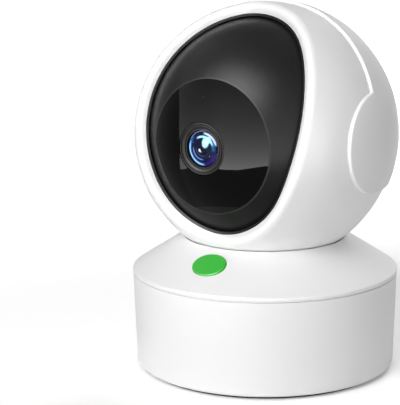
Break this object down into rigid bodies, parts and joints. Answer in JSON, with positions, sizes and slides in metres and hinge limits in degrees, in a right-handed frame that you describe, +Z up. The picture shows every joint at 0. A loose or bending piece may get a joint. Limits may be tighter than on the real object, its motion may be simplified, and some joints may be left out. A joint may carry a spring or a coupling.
{
  "type": "pet camera",
  "caption": "Round pan and tilt pet camera: a black eye with a lens turns in a white ball head on a drum base with a call button.",
  "frame": {"origin": "middle of the underside, on the plane of the rubber foot, under the pan axis", "axes": "+Z up along the pan axis, the lens looks along -Y at rest, the tilt axis runs along X"},
  "size_m": [0.0846, 0.0846, 0.1166],
  "materials": {
    "white_shell": "gloss",
    "black_shell": "gloss",
    "window": "gloss",
    "window_ring": "satin",
    "lens_metal": "black anodised",
    "lens_glass": "coated",
    "grey_plastic": "matt",
    "rubber": "matt",
    "brass": "turned",
    "steel": "plated",
    "ballast": "matt",
    "motor_can": "satin",
    "nylon": "satin",
    "board": "satin",
    "black_part": "satin",
    "green_button": "gloss",
    "clear_led": "gloss",
    "ribbon": "satin"
  },
  "bodies": {
    "base": {"base_housing": "white_shell", "base_top_cover": "white_shell", "bottom_plate": "grey_plastic", "rubber_foot": "rubber", "tripod_insert": "brass", "ballast_plate": "ballast", "case_screws": "steel", "pan_frame": "grey_plastic", "pan_bearing": "nylon", "pan_motor": "motor_can", "pan_motor_screws": "steel", "base_board": "board", "base_board_screws": "steel", "power_socket": "steel", "memory_card_socket": "steel", "reset_switch": "black_part", "speaker": "black_part", "speaker_gasket": "rubber", "call_switch": "black_part", "call_board": "board", "call_board_screws": "steel"},
    "pan_drive": {"pan_motor_shaft": "steel", "pan_pinion": "nylon"},
    "call_button": {"call_button": "green_button"},
    "reset_button": {"reset_button": "black_part"},
    "head": {"turntable": "nylon", "hub_clip": "steel", "turntable_screws": "steel", "head_front_shell": "white_shell", "opening_trim": "black_shell", "rear_hood": "white_shell", "tilt_pins": "steel", "tilt_bracket": "steel", "tilt_bracket_screws": "steel", "tilt_motor": "motor_can", "tilt_motor_screws": "steel", "head_ribbon": "ribbon", "wifi_antenna": "ribbon"},
    "tilt_drive": {"tilt_motor_shaft": "steel", "tilt_pinion": "nylon"},
    "eye": {"eye_shell": "black_shell", "tilt_bushings": "nylon", "window_ring": "window_ring", "window_glass": "window", "lens_barrel": "lens_metal", "lens_retainer": "lens_metal", "front_lens": "lens_glass", "lens_elements": "lens_glass", "lens_holder": "grey_plastic", "image_sensor": "black_part", "camera_board": "board", "camera_board_screws": "steel", "ir_board": "board", "ir_leds": "clear_led", "light_sensor": "clear_led", "eye_back_cover": "grey_plastic", "eye_screws": "steel", "tilt_gear": "nylon", "tilt_gear_screws": "steel"}
  },
  "joints": [
    {"name": "pan", "type": "hinge", "parent": "base", "child": "head", "pos_m": [0, 0, 0.03], "axis": [0, 0, 1], "range_deg": [-175, 175]},
    {"name": "tilt", "type": "hinge", "parent": "head", "child": "eye", "pos_m": [0, 0, 0.07494], "axis": [-1, 0, 0], "range_deg": [-30, 60]},
    {"name": "pan_drive_spin", "type": "hinge", "parent": "base", "child": "pan_drive", "pos_m": [-0.0256, 0, 0.027], "axis": [0, 0, 1], "range_deg": [-535, 535]},
    {"name": "tilt_drive_spin", "type": "hinge", "parent": "head", "child": "tilt_drive", "pos_m": [0.01, 0.02705, 0.06769], "axis": [-1, 0, 0], "range_deg": [-210, 108]},
    {"name": "call_press", "type": "slide", "parent": "base", "child": "call_button", "axis": [0, 0.5394, -0.8421], "range_m": [0, 0.0006], "stiffness_N_per_m": 300, "springref_m": -0.001},
    {"name": "reset_press", "type": "slide", "parent": "base", "child": "reset_button", "axis": [-0.5, -0.866, 0], "range_m": [0, 0.0005], "stiffness_N_per_m": 300, "springref_m": -0.001}
  ],
  "couplings": [
    {"joint": "pan_drive_spin", "follows": "pan", "ratio": -3},
    {"joint": "tilt_drive_spin", "follows": "tilt", "ratio": -3.375}
  ]
}
